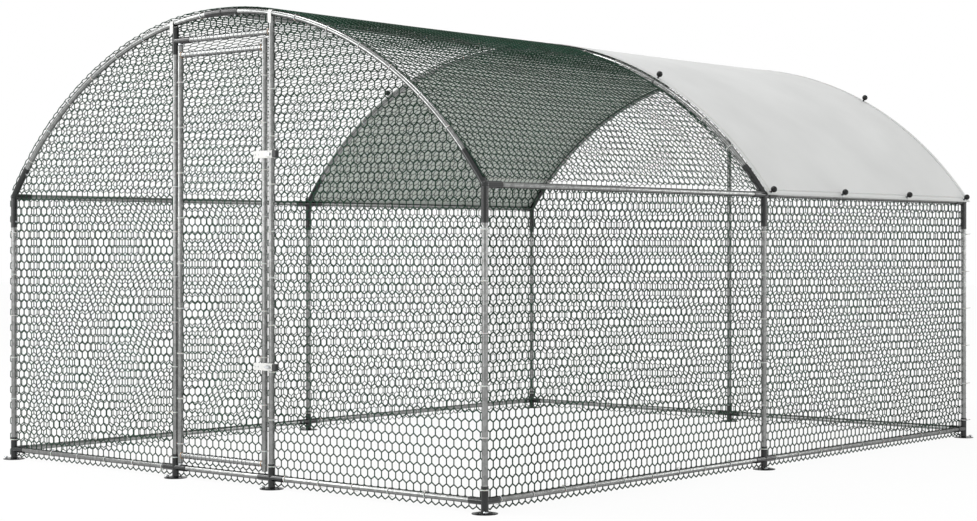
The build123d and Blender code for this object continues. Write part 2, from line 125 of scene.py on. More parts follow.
print("mid grey #808080 is", round(linear("#808080")[0], 3), "in linear light")

# %% Rays that see the background
def background_ray(tree):
    """A socket that is 1 for rays from the camera, and for those that metal or glass sends on."""
    ray = add_node(tree, "ShaderNodeLightPath").outputs
    sent_on = add_node(tree, "ShaderNodeMath", {"operation": "MAXIMUM"},
                       {0: ray["Is Glossy Ray"], 1: ray["Is Transmission Ray"]})
    seen = add_node(tree, "ShaderNodeMath", {"operation": "MAXIMUM"},
                    {0: ray["Is Camera Ray"], 1: sent_on.outputs[0]})
    return seen.outputs[0]


print("background rays: camera, glossy, transmission")

# %% White world
scene = bpy.context.scene
scene.view_settings.view_transform = "Standard"
HORIZON, ZENITH = 0.35, 1.0
world = bpy.data.worlds.new("white_studio")
world.use_nodes = True
scene.world = world
tree = world.node_tree
tree.nodes.clear()
way = add_node(tree, "ShaderNodeTexCoord")
height = add_node(tree, "ShaderNodeSeparateXYZ", None, {"Vector": way.outputs["Generated"]})
level = add_node(tree, "ShaderNodeMapRange", None,
                 {"Value": height.outputs["Z"], "From Max": 0.8, "To Min": HORIZON, "To Max": ZENITH})
studio = add_node(tree, "ShaderNodeBackground", None,
                  {"Color": (1, 1, 1, 1), "Strength": level.outputs["Result"]})
white = add_node(tree, "ShaderNodeBackground", None, {"Color": (1, 1, 1, 1), "Strength": 1.0})
either = add_node(tree, "ShaderNodeMixShader", None,
                  {"Fac": background_ray(tree), 1: studio.outputs[0], 2: white.outputs[0]})
add_node(tree, "ShaderNodeOutputWorld", None, {"Surface": either.outputs[0]})
print("studio light", HORIZON, "to", ZENITH)

# %% Paper floor
FLOOR_WHITE = 0.93
floor_finish = bpy.data.materials.new("studio_paper_white")
floor_finish.use_nodes = True
tree = floor_finish.node_tree
tree.nodes.clear()
paper = add_node(tree, "ShaderNodeBsdfDiffuse", None, {"Color": linear("#ececea")})
glow = add_node(tree, "ShaderNodeEmission", None, {"Color": (1, 1, 1, 1), "Strength": 1.0})
share = add_node(tree, "ShaderNodeMath", {"operation": "MULTIPLY"},
                 {0: background_ray(tree), 1: FLOOR_WHITE})
mixed = add_node(tree, "ShaderNodeMixShader", None,
                 {"Fac": share.outputs[0], 1: paper.outputs[0], 2: glow.outputs[0]})
add_node(tree, "ShaderNodeOutputMaterial", None, {"Surface": mixed.outputs[0]})

floor_mesh = bpy.data.meshes.new("studio_floor")
half = 40.0
corners = [(-half, -half, 0), (half, -half, 0), (half, half, 0), (-half, half, 0)]
floor_mesh.from_pydata(corners, [], [(0, 1, 2, 3)])
floor_mesh.materials.append(floor_finish)
floor = bpy.data.objects.new("studio_floor", floor_mesh)
scene.collection.objects.link(floor)
floor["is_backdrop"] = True
print("floor", 2 * half, "m across")

# %% [markdown]
# One soft box hangs high over the left front and makes the soft shadows. The other seven add less light, but
# tubes mirror them as streaks. A tube spreads its reflections in a cone round its own axis, so each direction
# of tube needs a lamp in its cone: two stand at post height, left and right of the camera, one stands further
# left and one hangs high in front for the arches, one hangs on the left for the front rails, and two stand
# behind the run for the rails along its depth.
# Sizes are metres, powers are watts.

# %% Soft boxes
def soft_box(name, location, target, size, power):
    """A square area lamp that faces a target."""
    data = bpy.data.lights.new(name, "AREA")
    data.shape = "SQUARE"
    data.size = size
    data.energy = power
    lamp = bpy.data.objects.new(name, data)
    lamp.location = location
    lamp.rotation_euler = (Vector(target) - Vector(location)).to_track_quat("-Z", "Y").to_euler()
    scene.collection.objects.link(lamp)
    return lamp


soft_box("high_soft_box", (-3.5, -4.5, 9.0), (0, 0, 1.0), 2.5, 225)
soft_box("post_streak_left", (0.7, -9.0, 1.25), (0, 0, 1.0), 2.0, 32)
soft_box("post_streak_right", (9.2, -0.4, 1.25), (0, 0, 1.0), 1.4, 25)
soft_box("arch_streak", (-4.2, -7.0, 2.3), (0, 0, 1.5), 2.8, 110)
soft_box("crown_streak", (1.2, -4.0, 8.4), (0.9, 0, 1.8), 1.8, 85)
soft_box("front_rail_streak", (-6.3, -5.2, 5.7), (0, 0, 1.0), 2.0, 130)
soft_box("side_rail_streak", (5.1, 7.6, 4.4), (0, 0, 1.0), 1.2, 35)
soft_box("far_rail_streak", (6.4, 6.7, 1.4), (-1.5, -1.0, 1.27), 1.6, 48)

# %% [markdown]
# The finishes are named for what the real pieces are made of. Each starts from one Principled shader whose
# constant values sit on the shader's own sockets, and then gets the pattern that the real surface shows.
# Patterns read the object coordinates: the CAD nodes sit at the origin, so one unit is one metre on the
# real object, and a pattern's scale is one over its size.

# %% A finish with one shader
def new_finish(name, values):
    """A material with one Principled shader, its constant values set on the shader's own sockets."""
    finish = bpy.data.materials.new(name)
    finish.use_nodes = True
    shader = finish.node_tree.nodes["Principled BSDF"]
    for key, value in values.items():
        shader.inputs[key].default_value = value
    place = add_node(finish.node_tree, "ShaderNodeTexCoord").outputs["Object"]
    return finish, finish.node_tree, shader, place


def per_metre(millimetres):
    """The scale of a pattern whose cells are this many millimetres across."""
    return 1000.0 / millimetres


def mottle(tree, shader, place, size, detail, tones):
    """Lets the colour drift between two tones in soft patches of this many millimetres."""
    patches = add_node(tree, "ShaderNodeTexNoise", None,
                       {"Vector": place, "Scale": per_metre(size), "Detail": detail}).outputs["Fac"]
    add_node(tree, "ShaderNodeValToRGB", {"tones": tones}, {"Fac": patches},
             {"Color": shader.inputs["Base Color"]})
    return patches


print("a 6 mm pattern has scale", round(per_metre(6), 1))

# %% [markdown]
# The frame is pre-galvanised steel tube: strip dipped in zinc, then rolled and welded into tube.
# Zinc freezes in flat crystals, the spangle, each a slightly different grey, so the tube is a soft mirror
# with a faint patchwork. One could paint an image of spangle, but a Voronoi pattern has the same cells and
# never repeats. The real cells are about 6 mm, hardly more than a pixel here, so they are drawn at 14 mm.

# %% Galvanised tube
SPANGLE = 14
galvanised, tree, shader, place = new_finish(
    "galvanised_steel_tube", {"Metallic": 1.0, "Specular Tint": linear("#8c8d8c")}
)
spangle = add_node(tree, "ShaderNodeTexVoronoi", {"feature": "F1"},
                   {"Vector": place, "Scale": per_metre(SPANGLE)}).outputs
add_node(tree, "ShaderNodeValToRGB", {"tones": {0.0: "#7a7b7a", 1.0: "#989998"}},
         {"Fac": spangle["Color"]}, {"Color": shader.inputs["Base Color"]})
add_node(tree, "ShaderNodeMapRange", None,
         {"Value": spangle["Distance"], "From Max": 0.8, "To Min": 0.14, "To Max": 0.22},
         {"Result": shader.inputs["Roughness"]})
print("galvanised tube: spangle drawn at", SPANGLE, "mm")

# %% [markdown]
# The multi-way fittings and feet are pressed and welded steel with a charcoal powder coat.
# Sprayed powder melts into a skin with a fine orange peel, so it is satin rather than flat black: highlights
# are wide and slightly broken. A small noise bump makes the peel, and a slow noise lets the coat thin out
# and show a little paler, as it does on pressed edges.

# %% Charcoal powder coat
PEEL = 2.5


def orange_peel(tree, shader, place, strength):
    """Gives a coat the fine bumps of melted powder."""
    grains = add_node(tree, "ShaderNodeTexNoise", None,
                      {"Vector": place, "Scale": per_metre(PEEL), "Detail": 1.0})
    add_node(tree, "ShaderNodeBump", None,
             {"Strength": strength, "Distance": 0.0004, "Height": grains.outputs["Fac"]},
             {"Normal": shader.inputs["Normal"]})


charcoal, tree, shader, place = new_finish("charcoal_powder_coat", {"Roughness": 0.18, "IOR": 1.52})
mottle(tree, shader, place, 60, 3.0, {0.35: "#0b0d0d", 0.7: "#181c1d"})
orange_peel(tree, shader, place, 0.25)
print("charcoal coat: orange peel", PEEL, "mm")

# %% [markdown]
# The small steel pieces, such as the swivel staples and the hinge pins, are zinc plated, which is brighter
# and smoother than dipped zinc. The hasp plates and the straps over the door posts carry white powder coat,
# and the grips and bushes are black moulded plastic with a fine spark-eroded texture. The cable ties are
# natural nylon.

# %% Zinc plate and white coat
plated, tree, shader, place = new_finish("zinc_plated_steel", {"Metallic": 1.0})
cloud = mottle(tree, shader, place, 9, 4.0, {0.0: "#aeb2b6", 1.0: "#d3d5d6"})
add_node(tree, "ShaderNodeMapRange", None, {"Value": cloud, "To Min": 0.16, "To Max": 0.36},
         {"Result": shader.inputs["Roughness"]})

white_coat, tree, shader, place = new_finish("white_powder_coat", {"Roughness": 0.38, "IOR": 1.5})
mottle(tree, shader, place, 40, 3.0, {0.0: "#d4d4d1", 1.0: "#e6e6e4"})
orange_peel(tree, shader, place, 0.2)
print("metal finishes", plated.name, white_coat.name)

# %% Black and white plastic
black_moulding, tree, shader, place = new_finish("black_moulded_abs", {"Roughness": 0.45, "IOR": 1.53})
spark = mottle(tree, shader, place, 1.2, 2.0, {0.0: "#151616", 1.0: "#232525"})
add_node(tree, "ShaderNodeBump", None, {"Strength": 0.35, "Distance": 0.0003, "Height": spark},
         {"Normal": shader.inputs["Normal"]})

nylon, tree, shader, place = new_finish(
    "natural_nylon", {"Roughness": 0.4, "IOR": 1.53, "Subsurface Weight": 0.15, "Subsurface Scale": 0.001}
)
mottle(tree, shader, place, 15, 2.0, {0.0: "#bfc1be", 1.0: "#d6d7d5"})
print("plastics", black_moulding.name, nylon.name)

# %% [markdown]
# Every CAD node that stays in view gets one of these finishes. The record already says which slot each node
# belongs to, so the finish goes on by slot, and no list of names has to be kept here.

# %% Finish the CAD nodes by their slots
finish_of_slot = {"tube": galvanised, "fitting": charcoal, "plated": plated, "latch": white_coat,
                  "grip": black_moulding}
dressed = 0
for row in frame["record"]["subparts"]:
    finish = finish_of_slot.get(row["material_slot"])
    if finish:
        mesh = frame["nodes"][row["node"]].data
        mesh.materials.clear()
        mesh.materials.append(finish)
        dressed += 1
print("finished CAD nodes", dressed)

# %% [markdown]
# The sizes of the frame are read from the CAD nodes themselves: the middle of a post or rail is its axis.
# The roof's arch is one arc through both eaves and the ridge, so three heights and a width give its radius.

# %% Read the frame's sizes
def axis_of(node):
    """The middle of a node's box, which for a straight tube is on its axis."""
    low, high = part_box(node)
    return (low + high) / 2


half_width = axis_of("post_front_right").x
front_y, rear_y = axis_of("post_front_right").y, axis_of("post_rear_right").y
eave_z, ridge_z = axis_of("eave_rails_right").z, axis_of("ridge_rails").z
base_z = axis_of("base_rails_front").z
door_post_x = axis_of("door_post_right").x
lintel_z = axis_of("door_lintel").z
tube_r = 0.0125
rise = ridge_z - eave_z
arch_r = (half_width ** 2 + rise ** 2) / (2 * rise)
arch_z = ridge_z - arch_r
eave_angle = math.asin(half_width / arch_r)
print("arch radius", round(arch_r, 3), "eave angle", round(math.degrees(eave_angle), 1))

# %% [markdown]
# Hexagonal netting is woven from single wires: neighbours twist round each other for a stretch, part, and
# twist with the next neighbour. So each cell has two upright twisted sides and four single slanting wires.
# A displaced or transparent texture could fake it, but would be flat from the side, and the netting is most
# of what one sees here. Instead every stretch of wire is a small prism. The twisted sides are a flat bar
# that turns as it rises, and the slanting ones are a three-sided wire, with widths matched to how dark the
# rows look in the picture. Plain arrays of points make the tens of thousands of prisms in a second or two.

# %% Wires from rows of points
wire_pitch = 0.039
twist_length = 0.025
slant_rise = 0.0125
twist_half = np.array([0.0018, 0.0013])
slant_half = np.array([0.0024, 0.0024])


def cut_to_outline(start, end, inside):
    """Drops the wires that lie outside an outline and shortens those that cross it."""
    keep = (inside(start) > 0) | (inside(end) > 0)
    start, end = start[keep], end[keep]
    for near, far in ((start, end), (end, start)):
        out = inside(far) <= 0
        a, b = near[out], far[out]
        low, high = np.zeros(len(a)), np.ones(len(a))
        for _ in range(12):
            middle = (low + high) / 2
            good = inside(a + (b - a) * middle[:, None]) > 0
            low, high = np.where(good, middle, low), np.where(good, high, middle)
        far[out] = a + (b - a) * low[:, None]
    long_enough = np.hypot(*(end - start).T) > 0.002
    return start[long_enough], end[long_enough]


def wire_prisms(start, end, place, half, sides, steps=1, turn=0.0):
    """Prisms along straight stretches of wire, laid out in (u, v) and put in space by place(u, v, w)."""
    run = end - start
    normal = np.stack([-run[:, 1], run[:, 0]], 1) / np.hypot(run[:, 0], run[:, 1])[:, None]
    corner = np.pi * (2 * np.arange(sides) + 1) / sides
    reach = math.sqrt(2) if sides == 4 else 1.15
    x, y = half[0] * reach * np.cos(corner), half[1] * reach * np.sin(corner)
    points = np.empty((len(start), steps + 1, sides, 3))
    for k in range(steps + 1):
        c, s = math.cos(turn * k), math.sin(turn * k)
        across, out = x * c - y * s, x * s + y * c
        at = start + run * (k / steps)
        u = at[:, 0, None] + normal[:, 0, None] * across
        v = at[:, 1, None] + normal[:, 1, None] * across
        points[:, k] = place(u, v, np.broadcast_to(out, u.shape))
    index = np.arange(len(start) * (steps + 1) * sides).reshape(len(start), steps + 1, sides)
    ahead = np.roll(index, -1, axis=2)
    walls = np.stack([index[:, :-1], ahead[:, :-1], ahead[:, 1:], index[:, 1:]], -1).reshape(-1, 4)
    caps = np.concatenate([index[:, 0, ::-1], index[:, -1]])
    return points.reshape(-1, 3), walls.tolist() + caps.tolist()


print("a cell is", wire_pitch * 1000, "mm wide and", (twist_length + 2 * slant_rise) * 1000, "mm tall")

# %% Join shapes and make pieces
def gather(shapes):
    """Joins several (points, faces) shapes into one."""
    points, faces, first = [], [], 0
    for shape_points, shape_faces in shapes:
        points.append(np.asarray(shape_points, float))
        faces += [[first + i for i in face] for face in shape_faces]
        first += len(shape_points)
    return np.concatenate(points), faces


def make_piece(name, shape, finish, body, stands_for=(), smooth=True):
    """Makes a shape into an object that rides on a CAD body."""
    mesh = bpy.data.meshes.new(name)
    mesh.from_pydata(np.asarray(shape[0]).tolist(), [], shape[1])
    mesh.materials.append(finish)
    if smooth:
        mesh.shade_smooth()
    piece = bpy.data.objects.new(name, mesh)
    scene.collection.objects.link(piece)
    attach(piece, body)
    if stands_for:
        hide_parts(*stands_for)
    return piece


print("CAD nodes that a piece can stand for", len(frame["nodes"]))

# %% [markdown]
# The wire is galvanised and then coated in dark green PVC. The coat is drawn on hot, so it is smooth with a
# low gloss, and the green only shows where many wires crowd together, as along the ridge.
# A slow noise varies the green from roll to roll, and a fine one dulls it where the weaving rubbed it.

# %% Coated wire
coated_wire, tree, shader, place = new_finish(
    "green_pvc_coated_wire", {"IOR": 1.52, "Specular IOR Level": 0.18}
)
mottle(tree, shader, place, 300, 2.0, {0.3: "#102c1c", 0.7: "#194230"})
rubbed = add_node(tree, "ShaderNodeTexNoise", None, {"Vector": place, "Scale": per_metre(8), "Detail": 2.0})
add_node(tree, "ShaderNodeMapRange", None, {"Value": rubbed.outputs["Fac"], "To Min": 0.35, "To Max": 0.6},
         {"Result": shader.inputs["Roughness"]})
print("coated wire:", len(tree.nodes), "nodes")

# %% [markdown]
# One function weaves every panel. It lays twists and slants over a rectangle, starts with a row of open
# slants so that the lower edge is the zigzag of a cut roll, and trims the wires to the panel's outline.
# The gauge, across the wire and out of the panel, thickens the wire a little where a panel is seen at a
# slant, and thins it on the left and rear panels: through two layers of equal wire the picture would show
# wavy bands that the eye does not see. On the roof it thins out towards the far side for the same reason.
# All of it is drawn several times thicker than life, because at this distance a true wire would fade.

# %% Weave a panel
def weave(u_range, v_range, place, gauge, inside=None):
    """Netting over a rectangle of (u, v), trimmed to an outline."""
    (u0, u1), (v0, v1) = u_range, v_range
    row = twist_length + slant_rise

    def within(p):
        across = np.minimum(p[:, 0] - u0, u1 - p[:, 0])
        box = np.minimum(across, np.minimum(p[:, 1] - v0 + 1e-6, v1 - p[:, 1]))
        return box if inside is None else np.minimum(box, inside(p))

    columns = np.arange(math.floor(u0 / wire_pitch) - 1, math.ceil(u1 / wire_pitch) + 2)
    rows = np.arange(-1, math.ceil((v1 - v0) / row) + 1)
    i, j = (a.ravel() for a in np.meshgrid(columns, rows))
    u = (i + (j % 2) / 2) * wire_pitch
    v = v0 + slant_rise + j * row
    low, top = np.stack([u, v], 1), np.stack([u, v + twist_length], 1)
    up_left, up_right = np.array([[-wire_pitch / 2, slant_rise], [wire_pitch / 2, slant_rise]])
    twists = cut_to_outline(low, top, within)
    ends = np.concatenate([top + up_left, top + up_right])
    slants = cut_to_outline(np.concatenate([top, top]), ends, within)
    return gather([
        wire_prisms(*twists, place, twist_half * gauge, 4, steps=2, turn=math.pi / 2),
        wire_prisms(*slants, place, slant_half * gauge, 3),
    ])


def hang(node, shapes, body="frame"):
    """Puts woven netting in the place of a CAD node, and tells how many faces it has."""
    shape = gather(shapes)
    make_piece(f"{node}_mesh", shape, coated_wire, body, [node])
    return len(shape[1])


FRONT_GAUGE, SIDE_GAUGE, FAR_GAUGE = np.array([[1.06, 1.06], [1.2, 1.2], [0.88, 0.88]])
NEAR_ROOF_GAUGE, RIDGE_GAUGE, FAR_ROOF_GAUGE = np.array([[0.98, 0.98], [0.92, 0.92], [0.79, 0.75]])
print("gauge from", FAR_ROOF_GAUGE.min(), "to", SIDE_GAUGE.max())

# %% [markdown]
# The front panels hang on the inside of the front frame, so its tubes stay clean to the eye, and the rear
# panel lies on the outside. Both end along the arch, where the real netting is tied to the bent tube.
# The panels beside the door end behind the door posts. The netting above the lintel and the strip under the
# sill rail are pieces of their own, as on the real front. Each of these takes its place from its CAD node.

# %% Flat panels and their outlines
ground_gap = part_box("net_rear")[0].z
front_net_y, rear_net_y = axis_of("net_front_left").y, axis_of("net_rear").y
sill_net_y = axis_of("net_front_sill").y


def facing_front(y):
    """Puts (u, v, w) on an upright plane that faces the front."""
    return lambda u, v, w: np.stack([u, y - w, v], -1)


def facing_rear(y):
    """Puts (u, v, w) on an upright plane that faces the rear."""
    return lambda u, v, w: np.stack([-u, y + w, v], -1)


def under_arch(p):
    """How far inside the arch's outer line a point is."""
    return arch_r + tube_r - np.hypot(p[:, 0], p[:, 1] - arch_z)


def clear_of(points, reach=0.0185):
    """An outline like under_arch that also stays clear of tubes passing through the panel at some points."""
    def inside(p):
        holes = [np.hypot(p[:, 0] - x, p[:, 1] - z) - reach for x, z in points]
        return np.min([under_arch(p)] + holes, axis=0)

    return inside


top_z = ridge_z + tube_r + 0.001
print("flat netting from", round(ground_gap, 3), "to", round(top_z, 3), "m")

# %% Front and rear netting
front_place = facing_front(front_net_y)
made = {}
for side, sign in (("left", -1), ("right", 1)):
    low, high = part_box(f"net_front_{side}")
    u_range = sorted((sign * half_width, low.x if sign > 0 else high.x))
    inside = clear_of([(sign * half_width, z) for z in (base_z, eave_z)])
    panel = weave(u_range, (ground_gap, top_z), front_place, FRONT_GAUGE, inside)
    made[side] = hang(f"net_front_{side}", [panel])
low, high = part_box("net_front_top")
panel = weave((low.x, high.x), (low.z, top_z), front_place, FRONT_GAUGE, clear_of([(0.0, ridge_z)]))
made["top"] = hang("net_front_top", [panel])
low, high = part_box("net_front_sill")
panel = weave((low.x, high.x), (ground_gap, high.z), facing_front(sill_net_y), FRONT_GAUGE)
made["sill"] = hang("net_front_sill", [panel])
rear_half = half_width + 0.006
panel = weave((-rear_half, rear_half), (ground_gap, top_z), facing_rear(rear_net_y), FAR_GAUGE, under_arch)
made["rear"] = hang("net_rear", [panel])
print("front and rear faces", made)

# %% [markdown]
# The side panels run the whole depth in one piece. The picture shows the posts in front of the netting on
# both sides, so the left panel hangs outside its posts, and the right one as far inside them as its CAD node
# is outside. The roof netting goes over the arches with its twists along the bend, since a roll bends more
# easily that way. It hangs a little between the arches, so it sags by a few millimetres there.
# Its front piece ends in a selvedge wire over the front arch and ruffles along it on the left. On the right
# it is tied to the near side of the middle arch, so it dips there and leaves the tube in view.

# %% The bent roof and the upright sides
side_x = axis_of("net_right").x
side_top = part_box("net_right")[1].z
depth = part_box("net_right")[1].y
roof_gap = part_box("net_roof_front")[1].z - ridge_z - 0.0006
roof_half = (eave_angle - 0.024 / arch_r) * arch_r
SAG = 0.006
TUCK, TUCK_LENGTH = 0.030, 0.115
RUFFLE, RUFFLE_LENGTH, RUFFLE_EVERY = 0.008, 0.08, 0.0375
FROM_RIDGE = 0.3


def sag_at(y, angle):
    """How far netting and cover hang in between the arches, the ridge and the eaves."""
    along = np.abs(np.sin(np.pi * (y - front_y) / (rear_y - front_y) * 2))
    return SAG * along * np.abs(np.sin(np.pi * angle / eave_angle))


def beside(x):
    """Puts (u, v, w) on an upright plane that faces the right, with u along the depth."""
    return lambda u, v, w: np.stack([x + w, u, v], -1)


def over_roof(gap, tuck=0.0, ruffle=0.0):
    """Puts (u, v, w) on the bent roof, a gap above the arches' axis: u along the depth, v along the bend."""
    def place(u, v, w):
        angle = v / arch_r
        dip = tuck * np.clip(1.0 + u / TUCK_LENGTH, 0.0, 1.0) * np.clip(-v / FROM_RIDGE, 0.0, 1.0)
        at_edge = np.clip(1.0 - (u - front_y) / RUFFLE_LENGTH, 0.0, 1.0) * np.clip(v / FROM_RIDGE, 0.0, 1.0)
        bumps = ruffle * np.abs(np.sin(np.pi * v / RUFFLE_EVERY)) * at_edge
        r = arch_r + gap + w - sag_at(u, angle) - dip + bumps
        return np.stack([-r * np.sin(angle), u, arch_z + r * np.cos(angle)], -1)

    return place


print("roof netting", round(2 * roof_half, 3), "m along the bend")

# %% Side and roof netting
two_rows = 2 * (twist_length + slant_rise)
crown = two_rows * round(roof_half / two_rows) - roof_half
near_v, far_v = crown - 11 * two_rows, crown + 5 * two_rows
roof_bands = [(-roof_half, near_v, NEAR_ROOF_GAUGE), (near_v, far_v, RIDGE_GAUGE),
              (far_v, roof_half, FAR_ROOF_GAUGE)]
v = np.linspace(-roof_half, roof_half, 161)
past_arch = 0.006
edge = np.stack([np.full_like(v, front_y - past_arch), v], 1)
selvedge = wire_prisms(edge[:-1], edge[1:], over_roof(roof_gap, 0.0, RUFFLE), twist_half, 4)
made = {}
v_range = (ground_gap, side_top)
right_x, left_x = 2 * half_width - side_x, -side_x
panel = weave((front_y + 0.004, rear_y - 0.004), v_range, beside(right_x), SIDE_GAUGE)
made["right"] = hang("net_right", [panel])
panel = weave((front_y - 0.010, depth), v_range, beside(left_x), FAR_GAUGE)
made["left"] = hang("net_left", [panel])
front_roof = ("front", (front_y - past_arch, -tube_r - 0.004), over_roof(roof_gap, TUCK, RUFFLE), [selvedge])
rear_roof = ("rear", (past_arch, rear_y - past_arch), over_roof(roof_gap - 0.0014), [])
for name, u_range, roof_place, edging in (front_roof, rear_roof):
    bands = [weave(u_range, (v0, v1), roof_place, gauge) for v0, v1, gauge in roof_bands]
    made[name] = hang(f"net_roof_{name}", bands + edging)
print("sides and roof faces", made)

# %% [markdown]
# The door has its own panel, tied to the inside of the door's stiles, so it swings with the door.
# It hangs one row of cells below the door's lower rail, as the real one does.

# %% Door netting
door_low, door_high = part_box("net_door")
panel = weave((door_low.x, door_high.x), (door_low.z, door_high.z), facing_front(axis_of("net_door").y),
              FRONT_GAUGE)
print("door faces", hang("net_door", [panel], "door"))

# %% [markdown]
# The cover is one cloth over the rear bay, cut from silver-coated polyester with a white woven underside that
# lightens the netting below it. It is held by the elastic ties, rests on the netting, and hangs a little
# between the arches. A flat sheet on a curved grid is enough, because the cloth is pulled tight. The grid
# follows the same sag as the netting under it.

# %% Coated cover cloth
THREAD = 5.0
# A band texture repeats each 2 pi / 20 units at scale 1, so over this number one cycle is two threads long.
BAND = 6.283
cover_cloth, tree, shader, place = new_finish(
    "silver_coated_polyester", {"Roughness": 0.55, "IOR": 1.48, "Sheen Weight": 0.08}
)
weft, warp = (
    add_node(tree, "ShaderNodeTexWave", {"wave_type": "BANDS", "bands_direction": way},
             {"Vector": place, "Scale": per_metre(THREAD) / BAND, "Distortion": 0.3}).outputs["Fac"]
    for way in ("Y", "X")
)
threads = add_node(tree, "ShaderNodeMath", {"operation": "MULTIPLY"}, {0: weft, 1: warp}).outputs[0]
# One slow noise bumps the cloth into soft folds and also makes its colour a little darker in their hollows:
# painted shade in the folds.
folds_with_painted_shade = mottle(tree, shader, place, 420, 3.0, {0.3: "#c6c7c6", 0.7: "#d0d1d0"})
relief = add_node(tree, "ShaderNodeBump", None, {"Strength": 0.15, "Distance": 0.0006, "Height": threads})
add_node(tree, "ShaderNodeBump", None,
         {"Strength": 0.1, "Distance": 0.012, "Height": folds_with_painted_shade, "Normal": relief.outputs["Normal"]},
         {"Normal": shader.inputs["Normal"]})
print("cover cloth: threads drawn", THREAD, "mm wide, because real ones of about 0.5 mm would not show")

# %% The cover's underside
cover_lining, tree, shader, place = new_finish("white_woven_polyethylene", {"Roughness": 0.6, "IOR": 1.5})
add_node(tree, "ShaderNodeTexChecker", None,
         {"Vector": place, "Scale": per_metre(THREAD),
          "Color1": linear("#dfe4e0"), "Color2": linear("#e6eae6")},
         {"Color": shader.inputs["Base Color"]})
print("cover lining: flat tapes drawn at", THREAD, "mm")

# %% The cover's sheet
cover_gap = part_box("roof_cover")[1].z - ridge_z - 0.0004
cover_front, cover_rear = 0.0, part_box("roof_cover")[1].y
cover_angle = eave_angle + 0.014 / arch_r
tie_y = [0.030, 0.675, 1.320, 1.950]


def cover_point(s, t, lift):
    """A point of the cover: s goes from eave to eave, t from front to rear, both 0 to 1."""
    angle = (2 * s - 1) * cover_angle
    y = cover_front + t * (cover_rear - cover_front)
    r = arch_r + cover_gap + lift - sag_at(y, angle)
    return np.stack([r * np.sin(angle), y, arch_z + r * np.cos(angle)], -1)


def grid_sheet(s_values, t_values, lift=0.0):
    """A grid of quads over the cover between given values of s and t."""
    s, t = np.meshgrid(s_values, t_values, indexing="ij")
    points = cover_point(s.ravel(), t.ravel(), lift)
    n, m = s.shape
    index = np.arange(n * m).reshape(n, m)
    quads = np.stack([index[:-1, :-1], index[1:, :-1], index[1:, 1:], index[:-1, 1:]], -1)
    return points, quads.reshape(-1, 4).tolist()


CLOTH = 0.0009


def thicken(piece, lining=0):
    """Gives a sheet the cloth's thickness, with the underside in another of its finishes."""
    solid = piece.modifiers.new("cloth_thickness", "SOLIDIFY")
    solid.thickness = CLOTH
    solid.offset = 0.0
    solid.material_offset = lining


s_all, t_all = np.linspace(0, 1, 121), np.linspace(0, 1, 61)
cover = make_piece("cover_sheet", grid_sheet(s_all, t_all), cover_cloth, "frame", ["roof_cover"])
cover.data.materials.append(cover_lining)
thicken(cover, lining=1)
cover_girth = 2 * cover_angle * (arch_r + cover_gap)
cover_depth = cover_rear - cover_front
print("cover cut", round(cover_girth, 3), "by", round(cover_depth, 3), "m")

# %% [markdown]
# The hem is a second layer folded over along the four edges and sewn down with two rows of stitches.
# At each tie a plated eyelet is pressed through the hem. Hem, stitches and eyelets are real geometry,
# because they are what makes a cloth edge read as sewn rather than cut.

# %% Hem
hem = 0.032
s_hem, t_hem = hem / cover_girth, hem / cover_depth
fold = np.array([0.0, 0.5, 1.0])
strips = [grid_sheet(s + fold * s_hem, t_all, CLOTH) for s in (0, 1 - s_hem)]
strips += [grid_sheet(s_all, t + fold * t_hem, CLOTH + 0.0002) for t in (0, 1 - t_hem)]
hem_piece = make_piece("cover_hem", gather(strips), cover_cloth, "frame")
thicken(hem_piece)
print("hem", hem * 1000, "mm wide")

# %% Stitches
def box_shape(size):
    """A box about its middle, as points and faces."""
    x, y, z = (v / 2 for v in size)
    points = [(a, b, c) for a in (-x, x) for b in (-y, y) for c in (-z, z)]
    faces = [(0, 1, 3, 2), (4, 6, 7, 5), (0, 4, 5, 1), (2, 3, 7, 6), (0, 2, 6, 4), (1, 5, 7, 3)]
    return np.array(points), faces


def put(shape, matrix):
    """Moves a shape by a matrix."""
    points = np.asarray(shape[0], float) @ np.array(matrix.to_3x3()).T + np.array(matrix.translation)
    return points, shape[1]


def basis(origin, x_axis, z_axis):
    """A matrix at a point, with Z along one direction and X near another."""
    z = Vector(z_axis).normalized()
    y = z.cross(Vector(x_axis)).normalized()
    x = y.cross(z)
    return Matrix.Translation(Vector(origin)) @ Matrix((x, y, z)).transposed().to_4x4()


def cover_basis(s, t, lift):
    """A matrix on the cover: X along the depth, Z out of the cloth."""
    at = cover_point(np.array([s]), np.array([t]), lift)[0]
    angle = (2 * s - 1) * cover_angle
    return basis(at, (0, 1, 0), (math.sin(angle), 0, math.cos(angle)))


stitch = box_shape((0.0065, 0.0011, 0.0009))
stitch_across = box_shape((0.0011, 0.0065, 0.0009))
STITCH_EVERY, CORNER = 0.0105, 0.005
rows = np.array([0.8, 0.92])
stitches = []
for s in (*(s_hem * rows), *(1 - s_hem * rows)):
    for t in np.arange(CORNER, cover_depth - CORNER, STITCH_EVERY) / cover_depth:
        stitches.append(put(stitch, cover_basis(s, t, 0.0018)))
for t in (*(t_hem * rows), *(1 - t_hem * rows)):
    for s in np.arange(CORNER, cover_girth - CORNER, STITCH_EVERY) / cover_girth:
        stitches.append(put(stitch_across, cover_basis(s, t, 0.0020)))
stitch_piece = make_piece("cover_stitches", gather(stitches), nylon, "frame", smooth=False)
print("stitches", len(stitches))

# %% [markdown]
# Each elastic tie is a glossy black ball on a loop of shock cord. The cord goes from the ball through the
# eyelet, round the tube and back. A turned profile makes the ball with its flat crown and the neck where the
# cord enters; a ring makes the loop. Between the joints the cord is too long for the rail, so its loop hangs
# down as a loose oval.

